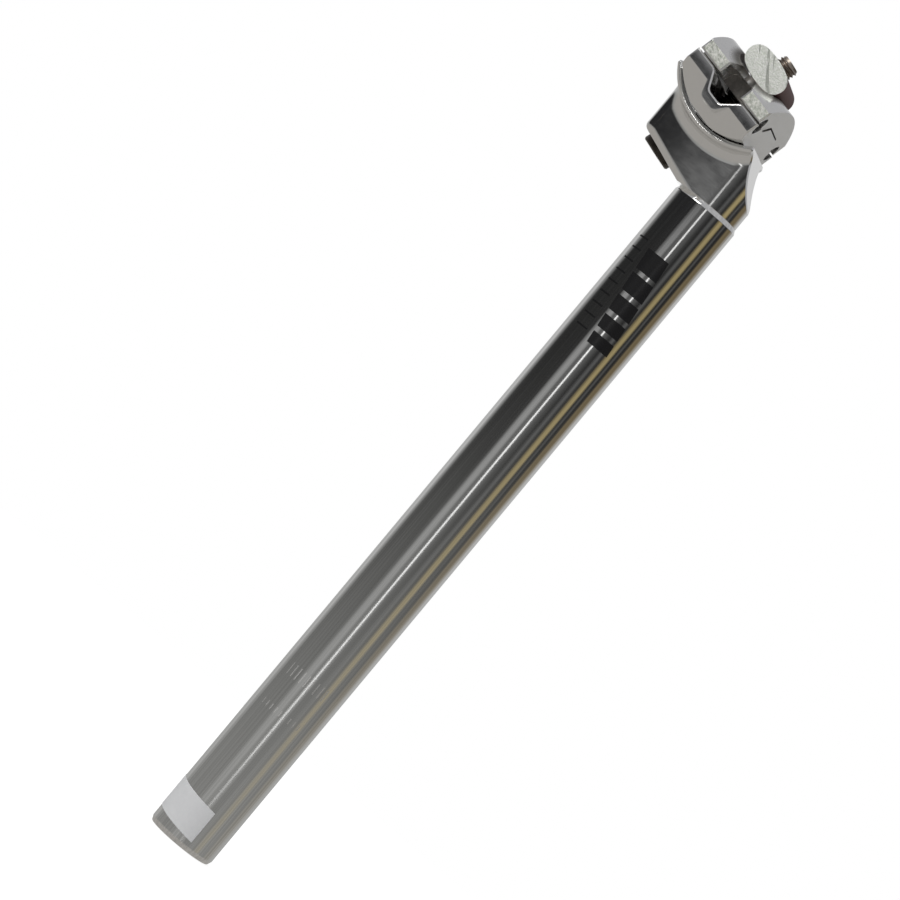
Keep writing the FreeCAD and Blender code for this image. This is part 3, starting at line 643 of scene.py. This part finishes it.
def forged_finish(name, roughness, pitch, pads=0.0, recess=0.0, shade_within=0.0, end_grind=0.0,
                  bow=0.0, crown=0.0, trough=0.0):
    """Wheel-polished alloy with ground pads and ends, painted shade inside and rounded sides."""
    material, tree, shader = new_finish(name, 1.0, roughness, ALLOY)
    haze = stretched_noise(tree, HAZE_SCALE, detail=5.0)
    waves = stretched_noise(tree, WAVE_SCALE, detail=1.0)
    scratches = stretched_noise(tree, SCRATCH_SCALE, detail=4.0)
    speckle = stretched_noise(tree, GRAIN_SCALE, detail=4.0, roughness=0.7)
    grain = remap(tree, speckle, 0.32, 0.68)

    place = forging_place(tree, pitch)
    outermost = sums(tree, "GREATER_THAN", place["outward"], recess)
    pad = sums(tree, "MULTIPLY", sums(tree, "MULTIPLY", place["side"], outermost), pads)
    ground = sums(tree, "MAXIMUM", pad, sums(tree, "MULTIPLY", place["end"], end_grind))
    # Painted shade: where the colour is darkened in the hollows and round the trough.
    shade_share = painted_shade(tree, place, outermost, shade_within, trough)

    smooth = sums(tree, "MULTIPLY_ADD", haze, HAZE_ROUGHNESS, roughness - HAZE_START)
    rough = sums(tree, "MULTIPLY_ADD", grain, *GROUND_ROUGHNESS)
    ground_or_shaded = sums(tree, "MAXIMUM", ground, shade_share)
    surface = add_node(tree, "ShaderNodeMix", {0: ground_or_shaded, 2: smooth, 3: rough})
    tree.links.new(surface.outputs[0], shader.inputs["Roughness"])

    polished = mix_colours(tree, haze, *POLISHED_TONES)
    outside = mix_colours(tree, pad, polished, mix_colours(tree, grain, *BLASTED_TONES))
    # The darkened colour of the painted shade.
    dark = mix_colours(tree, haze, *SHADE_TONES)
    tree.links.new(mix_colours(tree, shade_share, outside, dark), shader.inputs["Base Color"])

    wavy = sums(tree, "MULTIPLY", waves, WAVE_DEPTH)
    polish_marks = sums(tree, "MULTIPLY_ADD", scratches, SCRATCH_DEPTH, wavy)
    grind_marks = sums(tree, "MULTIPLY", grain, GRAIN_DEPTH)
    marks = add_node(tree, "ShaderNodeMix", {0: ground, 2: polish_marks, 3: grind_marks})
    fall = side_curve(tree, place, bow, crown)
    bump(tree, shader, sums(tree, "SUBTRACT", marks.outputs[0], fall), 1.0, POLISHED_EDGE)
    print(name, "from", len(tree.nodes), "nodes")
    return material


head_finish = forged_finish("polished_forging", 0.11, 0.0, bow=HEAD_BOW)
# The cradle gets painted shade near its middle; the clamp on its recessed side walls, with a painted
# shadow round the trough.
cradle_finish = forged_finish("cradle_forging", 0.13, CLAMP_PITCH, shade_within=15 * MM, end_grind=0.7,
                              crown=LIP_CROWN)
clamp_finish = forged_finish("blasted_forging", 0.15, CLAMP_PITCH, pads=1.0, recess=24 * MM,
                             end_grind=0.7, trough=1.0)
dress(nodes["post_head"], head_finish)
dress(nodes["lower_cradle"], cradle_finish)
dress(nodes["upper_clamp"], clamp_finish)

# %% [markdown]
# ### Sawn nut
#
# The bar nut was sawn from a drawn bar. Its ends are bright and rough, with a few slanted saw lines,
# and its flanks carry painted shade, dark and reddish. A Wave texture would give even lines; noise that
# is turned to the saw's slant and stretched along it gives uneven ones, as a saw leaves. The direction
# of the surface tells the ends from the flanks.

# %% Nut finish
SAW_SLANT = math.radians(54.0)
SAW_SCALE = (60.0, 900.0, 900.0)
SPECKLE_SCALE = (1700.0, 1700.0, 1700.0)
SAWN_FACE = 0.98
SAWN_ROUGHNESS = (0.25, 0.34)
FLANK_ROUGHNESS = 0.55
FLANK_METAL = 0.3
FLANK_SPECULAR = 0.25
SAWN_TONES = ((0.74, 0.78, 0.70), (1.0, 1.0, 0.98))
SAW_LINE = (0.50, 0.52, 0.48)
SAW_LINE_SHARE = 0.5
# The flanks' tones are painted shade, dark and reddish.
FLANK_SHADE_TONES = ((0.085, 0.032, 0.028), (0.13, 0.052, 0.046))
SAWN_DEPTH = 0.00012

nut_finish, tree, shader = new_finish("sawn_bar", 1.0, 0.2, (0.86, 0.88, 0.83))
nut_spot = add_node(tree, "ShaderNodeTexCoord").outputs
slanted = add_node(tree, "ShaderNodeVectorRotate", {"Vector": nut_spot["Object"], "Angle": -SAW_SLANT},
                   rotation_type="Y_AXIS")
stretched = add_node(tree, "ShaderNodeMapping", {"Vector": slanted.outputs[0], "Scale": SAW_SCALE})
saw = add_node(tree, "ShaderNodeTexNoise", {"Vector": stretched.outputs[0], "Scale": 1.0, "Detail": 3.0})
saw_lines = remap(tree, saw.outputs[0], 0.36, 0.44)
speckle = stretched_noise(tree, SPECKLE_SCALE, detail=5.0, roughness=0.7)
facing = add_node(tree, "ShaderNodeSeparateXYZ", {0: nut_spot["Normal"]})
sawn = sums(tree, "GREATER_THAN", sums(tree, "ABSOLUTE", facing.outputs[1]), SAWN_FACE)

end_rough = sums(tree, "MULTIPLY_ADD", speckle, *SAWN_ROUGHNESS)
nut_rough = add_node(tree, "ShaderNodeMix", {0: sawn, 2: FLANK_ROUGHNESS, 3: end_rough})
nut_metal = sums(tree, "MULTIPLY_ADD", sawn, 1.0 - FLANK_METAL, FLANK_METAL)
bright = mix_colours(tree, remap(tree, speckle, 0.3, 0.7), *SAWN_TONES)
end_colour = mix_colours(tree, saw_lines, SAW_LINE, bright)
# Painted shade on the flanks.
painted_flank_shade = mix_colours(tree, speckle, *FLANK_SHADE_TONES)
marks = sums(tree, "MULTIPLY_ADD", saw_lines, SAW_LINE_SHARE, speckle)
tree.links.new(nut_rough.outputs[0], shader.inputs["Roughness"])
tree.links.new(nut_metal, shader.inputs["Metallic"])
tree.links.new(mix_colours(tree, sawn, painted_flank_shade, end_colour), shader.inputs["Base Color"])
shader.inputs["Specular IOR Level"].default_value = FLANK_SPECULAR
bump(tree, shader, sums(tree, "MULTIPLY", marks, sawn), SAWN_DEPTH)
dress(nodes["clamp_nut"], nut_finish)
print("nut finish from", len(tree.nodes), "nodes")

# %% [markdown]
# ### Black bolt, plated washer
#
# The bolt is black oxide steel, oily and uneven. Towards its tip the colour goes from black to a
# lighter brownish steel with the height. The washer is plated, with a cloudy dull shine.

# %% Bolt and washer finishes
OIL_SCALE = (500.0, 500.0, 500.0)
OIL_ROUGHNESS = (0.26, 0.46)
BLACK_TONES = ((0.030, 0.027, 0.024), (0.11, 0.095, 0.08))
TIP_TONES = ((0.16, 0.135, 0.115), (0.52, 0.46, 0.40))
LIGHTER_FROM = 310 * MM
LIGHTER_OVER = 20 * MM
PLATING_SCALE = (700.0, 700.0, 700.0)
PLATING_ROUGHNESS = (0.22, 0.42)
PLATING_TONES = ((0.52, 0.52, 0.50), (0.66, 0.66, 0.63))

bolt_finish, tree, shader = new_finish("black_oxide", 0.9, 0.36, (0.05, 0.046, 0.043))
oil = stretched_noise(tree, OIL_SCALE, detail=4.0)
bolt_spot = add_node(tree, "ShaderNodeTexCoord").outputs["Object"]
bolt_height = add_node(tree, "ShaderNodeSeparateXYZ", {0: bolt_spot}).outputs[2]
# The colour turns lighter towards the tip, with the height.
towards_tip = remap(tree, bolt_height, LIGHTER_FROM, LIGHTER_FROM + LIGHTER_OVER)
black = mix_colours(tree, oil, *BLACK_TONES)
tip_colour = mix_colours(tree, oil, *TIP_TONES)
tree.links.new(mix_colours(tree, towards_tip, black, tip_colour), shader.inputs["Base Color"])
tree.links.new(remap(tree, oil, 0.25, 0.75, *OIL_ROUGHNESS), shader.inputs["Roughness"])

washer_finish, tree, shader = new_finish("plated_steel", 1.0, 0.3, (0.6, 0.6, 0.58))
plating = stretched_noise(tree, PLATING_SCALE, detail=3.0)
tree.links.new(mix_colours(tree, plating, *PLATING_TONES), shader.inputs["Base Color"])
tree.links.new(remap(tree, plating, 0.2, 0.8, *PLATING_ROUGHNESS), shader.inputs["Roughness"])
dress(nodes["bolt_washer"], washer_finish)
print("bolt and washer finishes made")

# %% [markdown]
# ## The tube, turned fine
#
# A mirror shows every flat of a coarse mesh, so the tube gets a finer mesh of its own. It is a
# turned part: its half section, bevels and bore included, is spun round the axis. A Screw modifier
# could do that; a short helper that builds rings of points and joins them with quads also serves for
# the bolt and the sticker, and keeps the faces even.

# %% Turned parts
WELD_DISTANCE = 0.0001 * MM
SHARP_ANGLE = math.radians(32.0)


def ring_mesh(name, rings, finish, body, node=None, place=None):
    """A mesh through rings of points, each ring a list. It may stand for a node of the model."""
    shape = bmesh.new()
    loops = [[shape.verts.new(point) for point in ring] for ring in rings]
    count = len(loops[0])
    for lower_loop, upper_loop in zip(loops, loops[1:]):
        for index in range(count):
            after = (index + 1) % count
            corners = (lower_loop[index], lower_loop[after], upper_loop[after], upper_loop[index])
            shape.faces.new(corners)
    bmesh.ops.remove_doubles(shape, verts=shape.verts, dist=WELD_DISTANCE)
    bmesh.ops.recalc_face_normals(shape, faces=shape.faces)
    data = bpy.data.meshes.new(name)
    shape.to_mesh(data)
    shape.free()
    for face in data.polygons:
        face.use_smooth = True
    data.set_sharp_from_angle(angle=SHARP_ANGLE)
    piece = bpy.data.objects.new(name, data)
    bpy.context.scene.collection.objects.link(piece)
    if place:
        data.transform(place)
    dress(piece, finish)
    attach(piece, body)
    if node:
        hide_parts(node)
    print(f"{name}: {len(data.polygons)} faces")


def circle(radius, height, segments):
    """Points round the Z axis."""
    turns = [2 * math.pi * step / segments for step in range(segments)]
    return [(radius * math.cos(turn), radius * math.sin(turn), height) for turn in turns]


print("ring helpers ready")

# %% Tube
TUBE_SEGMENTS = 256
TUBE_WALL = 2.3 * MM
FOOT_BEVEL = 0.65 * MM
FOOT_BEVEL_HEIGHT = 1.5 * MM
TOP_BEVEL = 0.75 * MM
TOP_BEVEL_HEIGHT = 1.4 * MM
EDGE = 0.12 * MM

tube_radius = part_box("post_tube")[1].x
tube_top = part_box("post_tube")[1].z
bore_radius = tube_radius - TUBE_WALL
top_bevel_foot = tube_top - TOP_BEVEL_HEIGHT
tube_section = [
    (bore_radius, 0.0),
    (tube_radius - FOOT_BEVEL - EDGE, 0.0),
    (tube_radius - FOOT_BEVEL, EDGE),
    (tube_radius - EDGE, FOOT_BEVEL_HEIGHT - EDGE),
    (tube_radius, FOOT_BEVEL_HEIGHT + EDGE),
    (tube_radius, FOOT_BEVEL_HEIGHT + 3 * EDGE),
    (tube_radius, 90 * MM),
    (tube_radius, 180 * MM),
    (tube_radius, top_bevel_foot - 3 * EDGE),
    (tube_radius, top_bevel_foot - EDGE),
    (tube_radius - EDGE, top_bevel_foot + EDGE),
    (tube_radius - TOP_BEVEL, tube_top),
    (bore_radius, tube_top),
    (bore_radius, 140 * MM),
    (bore_radius, 0.0),
]
tube_rings = [circle(radius, level, TUBE_SEGMENTS) for radius, level in tube_section]
ring_mesh("polished_tube", tube_rings, tube_finish, "post", "post_tube")

# %% [markdown]
# ## The bolt and its thread
#
# The engineering bolt is plain. The real one has a rolled thread, which shows above the nut. The
# thread is a spiral hill: at any point the radius depends on how far the height is ahead of the
# turn. It could be a groove cut by a Boolean, which is slow and leaves poor faces. So the bolt is
# drawn as rings again, and each point of a threaded ring gets its own radius.

# %% Bolt
BOLT_LEAN = math.radians(17.5)
BOLT_COLUMNS = 60
BOLT_LENGTH = 50 * MM
THREAD_PITCH = 1.25 * MM
THREAD_CREST = 4.0 * MM
THREAD_ROOT = 3.35 * MM
THREAD_STEPS = 10
THREAD_LENGTH = 27 * MM
FLANK_SLOPE = 2.6
ROOT_FLAT = 0.25
HEAD_RADIUS = 6.5 * MM
HEAD_HEIGHT = 5 * MM
HEAD_BEVEL = 0.5 * MM
HEX_APOTHEM = 2.5 * MM
HEX_DEPTH = 3.0 * MM
BOLT_TIP = 11.1 * MM
BOLT_SEAT = BOLT_TIP - BOLT_LENGTH
HEAD_FOOT = BOLT_SEAT - HEAD_HEIGHT
TIP_BEVEL = 0.8 * MM


def thread_radius(turn, height):
    """Radius of the thread: flat crests and roots, with straight flanks between them."""
    phase = (height / THREAD_PITCH - turn / (2 * math.pi)) % 1.0
    flank = min(max(abs(phase - 0.5) * FLANK_SLOPE - ROOT_FLAT, 0.0), 1.0)
    return THREAD_ROOT + (THREAD_CREST - THREAD_ROOT) * flank


def bolt_ring(height, radius_at):
    """A ring of the bolt whose radius depends on the turn."""
    points = []
    for step in range(BOLT_COLUMNS):
        turn = 2 * math.pi * step / BOLT_COLUMNS
        radius = radius_at(turn)
        points.append((radius * math.cos(turn), radius * math.sin(turn), height))
    return points


def hex_radius(turn):
    """Distance from the middle of the hex socket to its wall."""
    return HEX_APOTHEM / math.cos(turn % math.radians(60.0) - math.radians(30.0))


bolt_rings = [
    circle(0.0, HEAD_FOOT + HEX_DEPTH, BOLT_COLUMNS),
    bolt_ring(HEAD_FOOT + HEX_DEPTH, hex_radius),
    bolt_ring(HEAD_FOOT, hex_radius),
    circle(HEAD_RADIUS - HEAD_BEVEL, HEAD_FOOT, BOLT_COLUMNS),
    circle(HEAD_RADIUS, HEAD_FOOT + HEAD_BEVEL, BOLT_COLUMNS),
    circle(HEAD_RADIUS, BOLT_SEAT, BOLT_COLUMNS),
    circle(THREAD_CREST, BOLT_SEAT, BOLT_COLUMNS),
    circle(THREAD_CREST, BOLT_TIP - THREAD_LENGTH - THREAD_PITCH / 2, BOLT_COLUMNS),
]
thread_rows = round((THREAD_LENGTH - TIP_BEVEL) / THREAD_PITCH * THREAD_STEPS)
for row in range(thread_rows + 1):
    level = BOLT_TIP - THREAD_LENGTH + row * THREAD_PITCH / THREAD_STEPS
    bolt_rings.append(bolt_ring(level, lambda turn: thread_radius(turn, level)))
bolt_rings.append(circle(THREAD_CREST - TIP_BEVEL, BOLT_TIP, BOLT_COLUMNS))
bolt_rings.append(circle(0.0, BOLT_TIP, BOLT_COLUMNS))
bolt_place = Matrix.Translation(TILT_AXIS) @ Matrix.Rotation(BOLT_LEAN, 4, "Y")
ring_mesh("threaded_bolt", bolt_rings, bolt_finish, "bolt", "clamp_bolt", bolt_place)

# %% [markdown]
# ## The paper sticker
#
# A blank paper sticker is wrapped round the foot. It could be part of the tube's finish, but paper
# has an edge with a thickness, so it is a thin curved sheet of its own, a little turned on the tube.

# %% Sticker
STICKER_REAR = math.radians(-190.0)
STICKER_FRONT = math.radians(-64.0)
STICKER_FOOT = 3.6 * MM
STICKER_HEIGHT = 12.4 * MM
STICKER_TILT = 3.4 * MM
STICKER_COLUMNS = 48
PAPER_GAP = 0.02 * MM
PAPER_THICKNESS = 0.09 * MM
FIBRE_SCALE = (900.0, 900.0, 900.0)
FIBRE_DEPTH = 0.00001
FIBRE_ROUGHNESS = (0.5, 0.75)
PAPER_TONES = ((0.86, 0.87, 0.89), (0.96, 0.97, 0.98))

sticker_finish, tree, shader = new_finish("sticker_paper", 0.0, 0.62, (0.62, 0.63, 0.65))
fibres = stretched_noise(tree, FIBRE_SCALE, detail=5.0, roughness=0.65)
tree.links.new(mix_colours(tree, fibres, *PAPER_TONES), shader.inputs["Base Color"])
tree.links.new(remap(tree, fibres, 0.2, 0.8, *FIBRE_ROUGHNESS), shader.inputs["Roughness"])
bump(tree, shader, fibres, FIBRE_DEPTH)


def sticker_point(share, level, radius):
    """A point of the sticker: share runs round the tube, level up the sticker."""
    turn = STICKER_REAR + (STICKER_FRONT - STICKER_REAR) * share
    height = STICKER_FOOT + STICKER_HEIGHT * level + STICKER_TILT * (1.0 - share)
    return (radius * math.cos(turn), radius * math.sin(turn), height)


inside = tube_radius + PAPER_GAP
outside = inside + PAPER_THICKNESS
sheet_corners = [(0, inside), (0, outside), (1, outside), (1, inside)]
sticker_rings = []
for step in range(STICKER_COLUMNS + 1):
    share = step / STICKER_COLUMNS
    sticker_rings.append([sticker_point(share, level, radius) for level, radius in sheet_corners])
sticker_rings.insert(0, [sticker_point(0.0, 0.5, inside)] * 4)
sticker_rings.append([sticker_point(1.0, 0.5, inside)] * 4)
ring_mesh("paper_sticker", sticker_rings, sticker_finish, "post")
